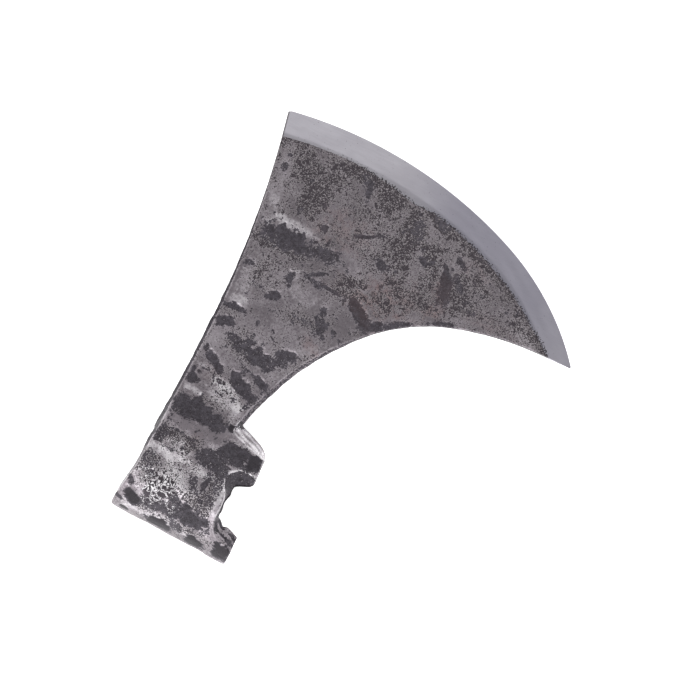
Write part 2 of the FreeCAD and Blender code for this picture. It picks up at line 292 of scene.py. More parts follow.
# ---- hammer marks and wear ----
# Each: (x, y, half length, half width, turn in degrees, depth, darkness), in millimetres. The dark
# forge scale lies in them.
MARKS = [
    # round the eye
    (-17.6, 21.2, 4.4, 3, 40, 0.45, 1.4), (-23.4, 23, 2, 2.2, 90, 0.1, 1.4),
    (-23.2, 5.5, 5.9, 4.4, 88, 0.2, 1.5), (-21.3, -2.3, 3.2, 3.8, 80, 0.15, 0.95),
    (-24, -13.4, 4.6, 4.6, 92, 0.15, 1.5), (-14.6, -6.5, 9, 4.6, 84, 0.4, 1.25),
    (-14.5, 3.5, 7, 4.6, 80, 0.2, 0.98), (-22.6, -26.4, 7, 4.4, 0, 0.2, 1.5),
    (-15.8, 11.5, 7, 3.6, 90, 0.15, 0.98), (-12.5, -10, 4.6, 3, 60, 0.2, 0.75),
    (0.5, -1.6, 3.6, 2.2, 30, 0.4, 0.88), (1.4, -6.6, 3.3, 1.3, -8, 0.6, 1.15),
    (3, -12.5, 4.5, 2.4, 10, 0.2, 0.72), (13.4, -3.2, 7.2, 4.2, 80, 0.5, 1),
    (11, -11, 5.5, 3, 30, 0.3, 0.85), (6.5, -6.5, 2.6, 2, 0, 0.2, 0.8),
    (16.8, -8.2, 4, 3.4, 66, 0.3, 0.86), (21.4, -12.6, 7, 4.4, 80, 0.5, 1.2),
    (20.9, -22.5, 3.6, 3.7, 90, 0.6, 1.3), (15.6, 22, 4.6, 2.4, -4, 0.4, 0.95),
    (19.3, 16.5, 5.4, 0.9, 90, 0.3, 0.85), (17.4, 7.2, 2.8, 2.2, 40, 0.2, 0.72),
    (1.5, 21.5, 5.6, 2.6, 10, 0.2, 0.72), (2.2, 16.4, 2.6, 1.6, 90, 0.15, 0.66),
    (10.4, 15.4, 4.2, 0.9, 92, 0.25, 0.72), (10.2, 14, 1.4, 1.2, 0, 0.25, 0.85),
    (-19.5, 12, 3.6, 1.2, 80, 0.2, 0.7), (-10.5, 25, 2.6, 1.4, 30, 0.2, 0.95),
    (-12, 2, 6, 3.6, 70, 0.15, 0.95), (-4.5, -11, 4, 3, 0, 0.12, 0.6),
    (-19.6, 27.4, 2.2, 1.4, 60, 0.2, 1.1),
    # neck
    (32.6, 14.2, 9.8, 4.9, 88, 0.9, 1.12), (31.2, 2.8, 5.6, 3.7, 88, 0.6, 1.08),
    (28.8, 17.5, 7, 2.6, 90, 0.3, 0.8), (31.6, -6.6, 2, 1.5, 90, 0.9, 1.6),
    (45.4, 21.6, 2.7, 2.3, 70, 0.45, 1.05), (49, 23, 2.6, 0.9, -2, 0.3, 1),
    (58, 17.6, 3.2, 2.2, 75, 0.5, 1.1), (54.8, 12.4, 3.6, 1.9, 55, 0.45, 1.1),
    (51.2, -1.4, 8.2, 3.2, 63, 0.85, 1.12), (44, 7.2, 2.6, 0.9, 90, 0.2, 0.72),
    (43.3, -7, 1.1, 1, 0, 0.3, 1), (56.8, -9.6, 5, 2.1, 68, 0.55, 1.05),
    (60, 0.6, 5, 0.9, 72, 0.25, 0.82), (68.2, 0, 10.8, 3.9, 74, 0.6, 1),
    (71, 12.2, 4.2, 1.8, 88, 0.4, 0.95), (70, 3, 8, 1.6, 80, 0.2, 0.7), (74, -14.6, 6, 2.3, 96, 0.5, 1),
    (69.6, -13.2, 3.6, 2, 100, 0.4, 0.92), (76.6, 19.2, 4.2, 2.5, 112, 0.45, 1.05),
    (84.2, 18.2, 5.6, 1.4, 92, 0.45, 1), (61.3, 22, 1.3, 1.1, 0, 0.25, 1),
    (38.8, 13.8, 2.2, 0.6, -6, 0.3, 1), (49.4, 12.6, 2.6, 0.6, 24, 0.25, 0.9),
    (51.6, 18, 2.8, 0.7, 84, 0.2, 0.8), (58.2, 1.4, 0.9, 0.8, 0, 0.2, 1),
    (78.6, -4, 1.6, 0.6, 60, 0.15, 0.8),
    # blade
    (82.4, 5.4, 1.7, 1, 12, 0.25, 1), (97.3, 4, 3, 2.2, 112, 0.5, 1.15),
    (106.6, 22.2, 2.6, 1.4, 108, 0.3, 0.95), (109, 1, 2.7, 2, 10, 0.5, 1.05),
    (94.2, -22, 4, 3, 30, 0.4, 0.98), (100.2, -20.4, 2.8, 1.4, 14, 0.3, 0.95),
    (89, -25, 1.5, 1.1, 40, 0.25, 0.9), (93.4, -29, 2, 1.4, 30, 0.25, 0.88),
    (92.6, -13.5, 6, 1, 88, 0.15, 0.68), (90.4, 0.5, 3, 0.8, 90, 0.15, 0.66),
    (125.2, 9.8, 11, 4.8, 91, 0.36, 1.2), (125.4, -9, 8, 3, 92, 0.35, 0.95),
    (120.4, 21.4, 1.8, 1, 60, 0.25, 0.9), (125.6, 22.6, 2, 1.2, 10, 0.25, 0.9),
    (106.2, -36.8, 9.4, 3, 56, 0.5, 1.15), (111.4, -20, 8, 1, 84, 0.3, 0.95),
    (104.6, -44.6, 5, 2.4, -60, 0.4, 1.1), (109.6, -53.5, 8, 1.9, -60, 0.35, 1),
    (120, -73, 7, 1.6, -68, 0.2, 0.95), (111.2, -10, 5.4, 1.2, 72, 0.3, 0.92),
    (116, -10.6, 5.6, 1.1, -58, 0.3, 0.9), (98, 12.5, 4, 1.6, 80, 0.15, 0.62),
    (136.8, -3.4, 2.1, 1.5, -10, 0.35, 1.05), (141.6, -21.6, 4.8, 1.1, -66, 0.4, 1.1),
    (145.6, -29.5, 3, 1.1, 90, 0.25, 0.85), (132.7, -34.6, 2.9, 2.2, 70, 0.3, 1.1),
    (143.6, -52, 2.8, 1.2, 46, 0.35, 1.1), (144.4, -56.4, 3.2, 1, -42, 0.3, 1.05),
    (138, -66.4, 10, 2.8, 14, 0.35, 1.08), (141, -72.6, 4.5, 1.6, 40, 0.25, 0.9),
    (150, -70, 3.6, 1.4, 60, 0.25, 1), (131, -70, 4, 2.4, 0, 0.25, 0.85),
    (162.5, -14.3, 5, 1.3, 10, 0.25, 1.05), (166, -12, 5, 2.2, 40, 0.25, 0.82),
    (155.2, 26.6, 2.2, 1.4, 0, 0.25, 0.95), (161.8, 26.8, 1.4, 1.3, 0, 0.2, 0.9),
    (147.6, 1.6, 1.6, 1.4, 0, 0.2, 0.85), (156, -44, 5.5, 2.6, 10, 0.2, 0.78),
    (163.8, -52.5, 3.6, 2.2, 70, 0.25, 0.88), (151, -67.5, 2.2, 1.4, 0, 0.2, 0.9),
    (157.5, -79, 5, 2.2, 80, 0.2, 0.78), (131.4, -84, 2.4, 1.2, 90, 0.15, 0.8),
]
# Each: (x, y, half length, half width, turn in degrees, amount).
CRUST = [                                   # where fine dark pits crowd
    (159, 14, 12, 7, 90, 0.6), (147, 7, 10, 9, 0, 0.65), (168, -8, 14, 3.6, 90, 0.7),
    (150, -42, 14, 7, 0, 0.75), (162, -26, 8, 6, 60, 0.55), (163, -56, 11, 4, 80, 0.8),
    (167, -38, 6, 2.4, 80, -0.6), (158, -78, 13, 5, 68, 0.7), (140, -76, 12, 8, 0, 0.55),
    (147, -98, 12, 3, 62, 0.1), (134, -92, 12, 5, 84, 0.05), (126, -58, 16, 8, 100, 0.4),
    (116, -26, 10, 7, 90, 0.6), (112, 13, 9, 7, 0, 0.1), (101, 10, 9, 5, 80, 0.2),
    (119, 12, 14, 2.6, 90, 0.6), (116, -42, 8, 5, 60, 0.3), (145, -56, 9, 5, 20, 0.55),
    (134, -38, 10, 6, 0, 0.3), (93, -12, 12, 3, 90, 0.4), (47, 2, 9, 4, 80, 0.22),
    (68, 2, 16, 6, 76, 0.4), (38.5, 5, 9, 3, 90, 0.2), (15, 14, 10, 6, 90, 0.45),
    (17.5, 6, 4, 4, 90, 0.4), (-2, 20, 9, 7, 0, 0.5), (0, 8, 8, 6, 0, 0.3),
    (136, -112, 12, 5, 74, 0.35), (-8, -6, 10, 8, 90, 0.55), (30, 16, 8, 3, 90, 0.3),
    (2, -11, 9, 4, 0, 0.6), (-20, 0, 26, 3, 90, 0.3),
    # and where the metal is smooth
    (146, 25.5, 22, 3.6, 6, -0.35), (132.6, 9, 12, 3.2, 86, -0.6), (100, 22, 14, 2.6, 0, -0.35),
    (88, 14, 9, 3, 90, -0.4), (84, -4, 12, 4, 90, -0.25), (103, -9, 9, 3.4, 80, -0.3),
    (24, 10, 18, 3.4, 90, -0.4), (41, 19, 5, 2.2, 90, -0.5), (59.5, 6, 10, 2, 72, -0.4),
    (63, -12, 4, 3, 30, -0.4), (66, 20, 6, 3, 0, -0.4), (7, 16, 10, 2.2, 90, -0.4),
    (82, -20, 8, 3, 110, -0.4), (-4, -16, 12, 1.5, 2, -0.5), (140, 0, 5, 3, 0, -0.2),
]
WORN_AND_PAINTED_LIGHT = [                                    # where the metal stands proud and is bright from wear and painted highlight; a negative amount paints shade
    (-4, 8, 22, 16, 90, 0.34), (6.8, 14, 11, 2.6, 88, 0.32), (0.5, 8.5, 4.5, 4, 0, 0.25),
    (13.6, 12, 8, 4.4, 90, 0.4), (-6, 14, 9, 7, 60, 0.25), (-3, 3, 8, 3, 60, 0.3),
    (6.5, -1, 5, 2.4, 90, 0.35), (-21, 10, 20, 5, 90, 0.55), (0, 24, 9, 2, 0, 0.3),
    (-4, -14.5, 14, 2.6, 2, 0.4), (-25.4, 10, 20, 1.9, 92, 0.7), (-11.5, -15.5, 3, 2, 0, -0.3),
    (-20.5, -17.5, 4, 3, 60, 0.35), (3, -15.8, 6, 1, 6, 0.4), (8, -14.5, 5, 0.8, 0, 0.5),
    (24, 12, 18, 3.4, 90, -0.45), (40.6, 19.4, 4.6, 2, 90, 0.62), (44, 4, 10, 6, 80, 0.46),
    (38, -4, 5, 3, 0, 0.3), (48.5, 7.5, 8, 3.2, 74, 0.5), (52.5, 19, 4, 1.8, 90, 0.35),
    (59.4, 6, 10, 2.5, 72, -0.1), (62.5, -12, 4, 3, 30, 0.08), (88.4, 18, 6, 2.4, 92, 0.42),
    (101, 19, 10, 4.4, 0, 0.26), (131.2, 10.5, 11.5, 3.4, 86, 0.44), (112.6, 1, 3, 1.2, 90, 0.3),
    (136, 20, 8, 3, 60, 0.2), (128.5, 21.5, 3, 2, 0, 0.3), (20, -3, 4, 1.8, 80, 0.35),
    (146, 25.5, 20, 3.4, 6, 0.2), (66, 21, 5, 2.6, 0, 0.18), (26.3, -14, 9, 0.8, 84, 0.4),
    (15.4, -22, 4, 0.6, 92, 0.6), (110, -1.5, 2, 1.4, 0, 0.3), (-22, -8.5, 2.2, 1.6, 0, 0.7),
    (120, -12, 10, 6, 90, -0.12), (103, -8, 8, 3.6, 80, 0.14), (80, -22, 6, 3, 110, 0.24),
    (150, -26, 7, 4, 90, 0.12), (132, -112, 9, 3, 78, 0.3), (122, -28, 6, 3, 20, 0.2),
]
RUST = [                                    # where a thin brown rust shows
    (120, -46, 18, 10, 110, 0.8), (132, -66, 12, 6, 10, 0.7), (115, -28, 12, 6, 80, 0.5),
    (140, -10, 16, 9, 90, 0.45), (106, -38, 9, 3, 56, 0.6), (50, 12, 9, 4, 80, 0.2),
    (82, -22, 7, 3, 60, 0.45), (18, 7, 5, 3, 0, 0.3), (152, -78, 10, 8, 0, 0.35),
    (130, -94, 14, 4, 90, 0.3),
]
BLISTER = [                                 # where coarse scale has blistered off
    (-9.5, 12, 8.5, 5.5, 150, 0.9), (-13, 4, 6, 4, 60, 0.6), (-4, 19, 9, 4, 0, 0.4),
    (-12, -3, 4, 2, 60, 0.35), (-2, 9, 6, 6, 0, 0.32), (12, 12, 6, 5, 0, 0.3),
]
FIELDS = {"pitted": CRUST, "rubbed": WORN_AND_PAINTED_LIGHT, "rust": RUST, "blister": BLISTER}
# Where scattered marks lie, as boxes of x and y, and how many lie in each.
SMALL_PLACES = ((-20, 26, -14, 26, 22), (38, 84, -14, 24, 22), (84, 168, -60, 26, 60),
                (126, 152, -110, -60, 14))
LOWER_PLACES = ((-22, 34, -26, 26, 34), (36, 90, -20, 24, 26), (95, 160, -70, 28, 34))


def scattered(seed, places, lengths, widths, turns, depth, darkness):
    """Random marks, so many within each box of x and y. A mark's width is a share of its length, and
    its depth is one number plus another times its length. The rest are ranges."""
    rng = np.random.default_rng(seed)
    made = []
    for x0, x1, y0, y1, count in places:
        for _ in range(count):
            length = rng.uniform(*lengths)
            made.append((rng.uniform(x0, x1), rng.uniform(y0, y1), length, length * rng.uniform(*widths),
                         rng.uniform(*turns), depth[0] + depth[1] * length, rng.uniform(*darkness)))
    return made


def random_marks(seed):
    """Hammer marks for the face that is free to differ."""
    return scattered(seed, LOWER_PLACES, (1.2, 7.5), (0.3, 0.7), (50, 120), (0.1, 0.09), (0.7, 1.2))


def small_marks(seed):
    """Small dents and flecks of scale."""
    return scattered(seed, SMALL_PLACES, (0.5, 1.5), (0.4, 0.9), (0, 180), (0.12, 0.15), (0.7, 1.1))


def random_fields(seed):
    """The same numbers of crusted places, and of places of wear and painted light, as on the upper face, a
    little moved.
    """
    rng = np.random.default_rng(seed)
    moved = {}
    for name, spots in FIELDS.items():
        moved[name] = [(x + rng.uniform(-8, 8), y + rng.uniform(-6, 6), length, width,
                        turn + rng.uniform(-25, 25), amount) for x, y, length, width, turn, amount in spots]
    return moved


def reach(flat, x, y, length, width, turn):
    """How far points lie from a rounded patch's centre, 1 at its rim, and how much they face +X there."""
    centre = unroll(np.array([(x, y)]))[0]
    c, s = math.cos(math.radians(turn)), math.sin(math.radians(turn))
    dx, dy = (flat - centre).T
    along = np.abs(dx * c + dy * s) / length
    across = np.abs(dy * c - dx * s) / width
    ahead = 0.5 + 0.5 * dx / (np.hypot(dx, dy) + 0.3)
    return (along ** 2.5 + across ** 2.5) ** 0.4, ahead


def mark_fields(flat, marks, warp):
    """Depth and darkness that the marks give at points of the unrolled skin. The side of a mark
    towards the cutting edge is the steep and crisp one."""
    depth = np.zeros(len(flat))
    dark = np.zeros(len(flat))
    for x, y, length, width, turn, deep, darkness in marks:
        r, ahead = reach(flat, x, y, length, width, turn)
        r = r + warp
        soft = 1.15 - 0.85 * ahead
        bowl = deep * smooth((1.12 + 0.3 * soft + 0.3 * ahead - r) / (0.2 + soft))
        depth = np.maximum(depth, bowl) + 0.25 * np.minimum(depth, bowl)
        dark = np.maximum(dark, darkness * smooth((1.22 + 0.5 * soft - 0.1 * ahead - r) / (0.12 + soft)))
    return depth, dark


def field(flat, spots, warp):
    """The sum of soft spots at points of the unrolled skin."""
    total = np.zeros(len(flat))
    for x, y, length, width, turn, amount in spots:
        r, _ = reach(flat, x, y, length, width, turn)
        total += amount * smooth((1.3 - r - warp) / 0.8)
    return np.clip(total, -0.6, 1)


# ---- meshes ----

class Shell:
    """Vertices and faces of one closed piece, with named values at each vertex."""

    def __init__(self):
        self.points, self.faces, self.values = [], [], {name: [] for name in ("dark", "blued", *FIELDS)}
        self.count = 0

    def add(self, points, **values):
        """Adds vertices with their values, 0 where none is given, and gives back their numbers."""
        first = self.count
        self.points.append(np.asarray(points, float))
        self.count += len(points)
        for name, store in self.values.items():
            store.append(np.broadcast_to(values.get(name, 0.0), len(points)))
        return np.arange(first, self.count)

    def mesh(self, name, mirror):
        points = np.vstack(self.points) * MM
        if mirror:
            points[:, 2] *= -1
        data = bpy.data.meshes.new(name)
        faces = [tuple(reversed(f)) for f in self.faces] if mirror else self.faces
        data.from_pydata(points.tolist(), [], faces)
        for key, store in self.values.items():
            data.attributes.new(key, "FLOAT", "POINT").data.foreach_set("value", np.concatenate(store))
        data.validate()
        data.shade_smooth()
        data.set_sharp_from_angle(angle=math.radians(55))
        return data


def inside_rows(loop, spacing):
    """Points of a triangular grid that lie inside a closed loop."""
    ahead = np.roll(loop, -1, axis=0)
    found = []
    for row, y in enumerate(np.arange(loop[:, 1].min(), loop[:, 1].max(), spacing * 0.866)):
        cross = (loop[:, 1] > y) != (ahead[:, 1] > y)
        a, b = loop[cross], ahead[cross]
        at = np.sort(a[:, 0] + (y - a[:, 1]) / (b[:, 1] - a[:, 1]) * (b[:, 0] - a[:, 0]))
        for left, right in zip(at[::2], at[1::2]):
            start = math.ceil(left / spacing) * spacing + (row % 2) * spacing / 2
            found += [(x, y) for x in np.arange(start, right, spacing)]
    return np.array(found).reshape(-1, 2)


def tree_of(points):
    tree = kdtree.KDTree(len(points))
    for i, p in enumerate(points):
        tree.insert((p[0], p[1], 0), i)
    tree.balance()
    return tree


def fill(loop, spacing, insets=()):
    """Triangles that fill a closed loop. The loop's own points come first in the result."""
    tree = tree_of(loop)

    def clear(points, gap):
        return [p for p in points if tree.find((p[0], p[1], 0))[2] > gap]

    extra = []
    tangent = np.roll(loop, -1, axis=0) - np.roll(loop, 1, axis=0)
    normal = np.column_stack([-tangent[:, 1], tangent[:, 0]])
    normal /= np.linalg.norm(normal, axis=1)[:, None]
    area = np.sum(loop[:, 0] * np.roll(loop[:, 1], -1) - loop[:, 1] * np.roll(loop[:, 0], -1))
    for inset in insets:
        extra += clear(loop + normal * inset * np.sign(area), inset * 0.93)
    extra += clear(inside_rows(loop, spacing), (insets[-1] if insets else 0) + spacing * 0.55)
    given = [Vector(p) for p in loop] + [Vector(p) for p in extra]
    edges = [(i, (i + 1) % len(loop)) for i in range(len(loop))]
    _, _, faces, origin, _, _ = delaunay_2d_cdt(given, edges, [], 1, 1e-6)
    source = [o[0] for o in origin]
    points = np.array(given)
    triangles = [tuple(source[i] for i in f) for f in faces]
    gaps = np.array([tree.find((p[0], p[1], 0))[2] for p in points])
    gaps[:len(loop)] = 0.0
    return points, triangles, gaps


class Rim:
    """The closed rim of a cheek: matching points on the skin and on the cheek's inner surface."""

    def __init__(self):
        self.stretches = []

    def __len__(self):
        return sum(len(stretch[0]) for stretch in self.stretches)

    def run(self, outer, inner, elbow=1.0, dark=0.4, rubbed=0.5, round_by=0.3, face=0.0, layered=0.0):
        """One stretch of the rim: where the wall bends, how dark it is, how bright its edge is, from wear
        and painted highlight, how round its edge is, how bright its face is, and how far its metal has
        split into layers."""
        values = (elbow, dark, rubbed, round_by, face, layered)
        self.stretches.append([outer, inner, *(np.broadcast_to(value, len(outer)) for value in values)])

    def arrays(self):
        return [np.concatenate(parts) for parts in zip(*self.stretches)]


def on_bore(angle, y):
    return np.column_stack([BORE * np.cos(angle), y * np.ones(len(angle)), BORE * np.sin(angle)])


def on_middle(points):
    return np.column_stack([points, cleft(points)])


def inset_line(line, by):
    """A line moved to its left by a distance at each point."""
    tangent = np.gradient(line, axis=0)
    tangent /= np.linalg.norm(tangent, axis=1)[:, None]
    return line + np.column_stack([-tangent[:, 1], tangent[:, 0]]) * np.reshape(by, (-1, 1))


def cheek_rim(lap):
    """The rim of a cheek whose outer edge at the poll is turned past the middle by an angle."""
    rim = Rim()
    quarter = math.pi / 2
    poll_out = -(quarter + lap * LAP_OUTSIDE) * EYE_RADIUS
    poll_in = math.pi + lap * LAP_INSIDE

    # lap at the poll, up from the rear lug
    ends = [top_edge(EYE_RADIUS * math.sin(poll_out / EYE_RADIUS)), top_edge(BORE * math.cos(poll_in))]
    count = int((ends[0] - REAR_LUG_END) / GRID)
    y, y_in = (np.linspace(REAR_LUG_END + 0.1, end, count, endpoint=False) for end in ends)
    rim.run(np.column_stack([np.full(count, poll_out), y]), on_bore(np.full(count, poll_in), y_in),
            dark=0.5, rubbed=0.2, round_by=0.25)
    # top of the eye, dipped on the skin and in the bore alike, then the blade's top edge
    u = np.arange(poll_out, TOP_JOIN, GRID)
    x = np.where(u < 0, EYE_RADIUS * np.sin(u / EYE_RADIUS), u)
    angle = np.where(u < 0, quarter + (poll_in - quarter) * u / poll_out, quarter * (1 - u / TOP_JOIN))
    inset = np.interp(x, [-25, -15, -5, 0, 5, 12, 30], [0.1, 0.4, 1.2, 1.6, 1.4, 1.6, 1.8])
    dip = np.interp(x, [-23, -16, -6, 1, 10, 20, 30], [0.0, 0.7, 1.5, 1.6, 1.2, 0.9, 0.1])
    # the eye's top wall is painted darker towards the blade, as painted shade running into the top edge's
    rim.run(np.column_stack([u, top_edge(x) - inset - dip]),
            on_bore(angle, top_edge(BORE * np.cos(angle)) - dip),
            elbow=1 - 0.75 * smooth((u - 2.0) / 10.0), dark=0.25 + 0.85 * smooth((u + 6.0) / 24.0),
            rubbed=0.7 - 0.45 * smooth(u / 10), round_by=0.55 + 0.6 * smooth((-u - 4) / 8))
    top_front = len(rim)
    line = depth_line(bevel_depth, 400)
    x = np.arange(TOP_JOIN, line[0, 0] - GRID / 2, GRID)
    shift = np.interp(x, [30, 50], [BORE, 50])
    middle = np.where(x < 50, shift, x)
    inset = np.interp(x, [30, 80, 110, 140, 169], [1.8, 1.6, 1.0, 0.6, 0.0])
    # the top edge's wall is painted dark all along: painted shade on the edge's chamfer
    rim.run(np.column_stack([x, top_edge(x) - inset]),
            on_middle(np.column_stack([middle, top_edge(middle)])), elbow=0.25, dark=1.1, rubbed=0.25,
            round_by=0.45)
    # along the bevel
    line = even(line, steps(line))
    rim.run(line, np.column_stack([line, np.full(len(line), SHOULDER_HALF)]), dark=0.2, rubbed=0.05,
            round_by=0.0)
    # back along the beard
    beard = even(beard_line(), 1200)
    beard = beard[edge_depth(beard) > bevel_depth(beard[:, 1])][::-1]
    beard = even(beard, steps(beard))[1:]
    by = np.interp(beard[:, 0], [40, 75, 88, 100, 112], [2.0, 1.9, 1.2, 0.4, 0.15])
    by = by * smooth((edge_depth(beard) - bevel_depth(beard[:, 1])) / 6.0)
    under = inset_line(beard, -by)
    # the beard's wall is painted dark: a painted shadow line along the beard
    rim.run(under[:-1], on_middle(beard)[:-1], elbow=0.35, dark=0.72,
            rubbed=np.interp(beard[:-1, 0], [95, 108], [0.1, 0.0]), round_by=0.45)
    # front wall of the front lug
    count = steps(np.array(LUG_RIDGE, float))
    ridge = smooth_line([under[-1], *LUG_RIDGE], count)
    middle = smooth_line([beard[-1], *LUG_MIDDLE], count)
    rim.run(ridge[:-1], on_middle(middle)[:-1], rubbed=0.6, round_by=0.5, face=1.0,
            dark=np.interp(np.arange(count - 1), [0, 4, 8], [1.3, 0.9, 0.1]))
    # underside of the front lug, to its corner at the notch
    bottom = np.linspace(LUG_RIDGE[-1], LUG_CORNER, 9)
    low = np.linspace(LUG_MIDDLE[-1], (BORE, FRONT_LUG_END), 9)
    rim.run(bottom[:-1], on_middle(low)[:-1], dark=0.5, rubbed=0.6, round_by=0.5)
    low_front = len(rim)
    inside = smooth_line(NOTCH_INSIDE, NOTCH_STEPS)
    first = math.acos(inside[0, 0] / BORE)
    count = 10
    bottom = np.linspace(LUG_CORNER, NOTCH_OUTSIDE[0], count)
    rim.run(unroll(bottom)[:-1], on_bore(np.linspace(0, first, count), FRONT_LUG_END)[:-1], dark=0.5,
            rubbed=0.6, round_by=0.5)
    # notch
    outside = smooth_line(NOTCH_OUTSIDE, NOTCH_STEPS)
    angle = np.arccos(np.clip(inside[:, 0] / BORE, -1, 1))
    x = outside[:-1, 0]
    rim.run(unroll(outside)[:-1], on_bore(angle, inside[:, 1])[:-1], round_by=0.45,
            dark=np.interp(x, [-19, -12, -8, 0, 6, 12], [0.5, 0.7, 0.9, 0.6, 1.0, 1.0]),
            rubbed=np.interp(x, [-19, -13, -10, 4, 9], [0.1, 0.4, 0.8, 0.6, 0.8]),
            layered=smooth((-9 - x) / 4))
    # underside of the rear lug
    start = unroll(outside[-1:])[0]
    last = math.acos(inside[-1, 0] / BORE)
    count = steps(np.array([start, (poll_out, REAR_LUG_END)]))
    bottom = np.linspace(start, (poll_out, REAR_LUG_END + 0.1), count)
    rim.run(bottom[:-1], on_bore(np.linspace(last, poll_in, count), bottom[:, 1])[:-1], dark=0.6,
            rubbed=0.6, round_by=0.5)
    return rim, top_front, low_front


def front_line(top, low):
    """Points shared by the bore and the weld, down the front of the bore."""
    return np.linspace(top, low, FRONT_POINTS)[1:-1]


def cheek(name, marks, fields, lap, mirror, seed):
    """One cheek: its hammered skin, the walls round its rim, its half of the bore and its weld face."""
    rim, top_front, low_front = cheek_rim(lap)
    outer, inner, elbow, wall_dark, wall_rubbed, round_by, face, layered = rim.arrays()
    n = len(outer)
    flat, triangles, gaps = fill(outer, GRID, RIM_RINGS)
    base, normal = skin(flat), skin_normals(flat)

    # relief and wear of the skin, and its painted highlight and shade
    warp = 0.5 * ripple(base, 4.5, seed) + 0.4 * ripple(base, 1.7, seed + 1)
    depth, dark = mark_fields(flat, marks, warp)
    skin_fields = {key: field(flat, spots, warp) for key, spots in fields.items()}
    x = base[:, 0]
    blade = smooth((x - 85) / 50)
    broad = ripple(base, 15.0, seed + 2) * (0.6 - 0.4 * blade)
    broad = broad + ripple(base, 6.0, seed + 3) * (0.3 - 0.2 * blade)
    fine = ripple(base, 2.2, seed + 4)
    pits = smooth((fine - 0.18) / 0.25) * skin_fields["pitted"] * PIT_DEPTH
    height = broad - depth - pits + 0.2 * skin_fields["blister"] * ripple(base, 1.6, seed + 9)
    height = height + 0.18 * np.maximum(skin_fields["rubbed"], 0)
    behind = edge_depth(base[:, :2]) - bevel_depth(base[:, 1])
    height = np.minimum(height, PROUD) * smooth(behind / 3.0) * (0.35 + 0.65 * smooth(gaps / 3.0))
    near = tree_of(outer)
    nearest = np.array([near.find((p[0], p[1], 0))[1] for p in flat])
    rounding = round_by[nearest] * (1 + 0.6 * ripple(base, 6.0, seed + 6))
    t = np.clip(1 - gaps / np.maximum(rounding, 1e-3), 0, 1)
    height = height - rounding * (1 - np.sqrt(1 - t * t * 0.98))
    points = base + normal * height[:, None]
    points[:, 2] = np.maximum(points[:, 2], np.where(x > 60, cleft(flat) + 0.3, -99))
    # the skin is brighter near its rim: edge wear, with painted highlight along the edge
    corner = np.where(gaps < 1.5, wall_rubbed[nearest] * np.exp(-gaps / 0.6), -1.0)
    skin_fields["rubbed"] = np.clip(np.maximum(skin_fields["rubbed"], corner) + 0.3 * broad, -0.6, 1)
    crusted = 0.24 + 0.16 * blade + 0.4 * np.exp(-behind / 4.0) + 0.5 * ripple(base, 7.0, seed + 5)
    skin_fields["pitted"] = np.clip(skin_fields["pitted"] + crusted, 0, 1)

    shell = Shell()
    skin_ids = shell.add(points, dark=dark, **skin_fields)
    shell.faces += [tuple(skin_ids[list(t)]) for t in triangles]

    # walls from the rim to the inner surface
    start = points[:n]
    tangent = np.roll(start, -1, axis=0) - np.roll(start, 1, axis=0)
    out = np.cross(tangent, inner - start)
    out /= np.linalg.norm(out, axis=1)[:, None] + 1e-9
    seam = (np.abs(inner[:, 2]) < 0.01) & (inner[:, 0] > BORE + 1)
    goal, inner = inner, inner - out * np.where(seam, 0.25, 0.0)[:, None]
    wide = smooth(np.linalg.norm(inner - start, axis=1) / 4)
    rows = [skin_ids[:n]]
    for k in range(1, WALL_ROWS):
        v = k / WALL_ROWS
        row = start + (goal - start) * v
        row[:, :2] = start[:, :2] + (goal - start)[:, :2] * np.minimum(1, v / elbow)[:, None]
        bumps = ripple(row, 2.6, seed + 7) * 0.5 + ripple(row, 7.0, seed + 8) * 0.6
        split = layered * smooth(0.4 + 0.9 * math.cos(v * 15 + 1) + 2.4 * ripple(row, 3.0, seed + 9))
        bumps = bumps * math.sin(math.pi * v) * 0.6 - 0.4 * split
        # a wall's face is brighter in streaks, and its rim brighter from wear and painted highlight
        streaks = face * (0.62 + 0.38 * math.cos(v * 17)) + 0.5 * face * ripple(row, 4.0, seed + 5)
        rubbed = np.maximum(wall_rubbed * max(0, 1 - 4 * v) * 0.8, streaks + 0.1 * layered)
        rows.append(shell.add(row + out * (bumps * wide)[:, None], pitted=0.3 - 0.25 * face, rubbed=rubbed,
                              dark=wall_dark - 0.4 * layered + 0.9 * split))
    rows.append(shell.add(inner, dark=wall_dark, pitted=0.5))
    for a, b in zip(rows, rows[1:]):
        shell.faces += [(a[i], b[i], b[(i + 1) % n], a[(i + 1) % n]) for i in range(n)]
    inner_ids = rows[-1]

    # the bore and the weld face meet down the front of the bore
    shared = front_line(inner[top_front], inner[low_front])
    shared_ids = shell.add(shared, dark=0.8)
    bore_ids = np.concatenate([inner_ids[low_front:], inner_ids[:top_front + 1], shared_ids])
    bore_points = np.vstack([inner[low_front:], inner[:top_front + 1], shared])
    angle = np.arctan2(bore_points[:, 2], bore_points[:, 0])
    angle = np.where(angle < -0.5, angle + 2 * math.pi, angle)
    add_sheet(shell, bore_ids, np.column_stack([angle * BORE, bore_points[:, 1]]), BORE_GRID,
              lambda flat: on_bore(flat[:, 0] / BORE, flat[:, 1]))
    weld_ids = np.concatenate([inner_ids[top_front:low_front + 1], shared_ids[::-1]])
    weld_points = np.vstack([inner[top_front:low_front + 1], shared[::-1]])
    add_sheet(shell, weld_ids, weld_points[:, :2], WELD_GRID, on_middle)
    return shell.mesh(name, mirror)


def add_sheet(shell, ids, loop, spacing, place):
    """Fills a loop of existing vertices, given flat, with a sheet that faces inwards."""
    flat, triangles, _ = fill(loop, spacing)
    n = len(loop)
    extra = place(flat[n:]) if len(flat) > n else np.zeros((0, 3))
    all_ids = np.concatenate([ids, shell.add(extra, dark=0.85, pitted=0.3)])
    shell.faces += [tuple(int(i) for i in all_ids[list(reversed(t))]) for t in triangles]


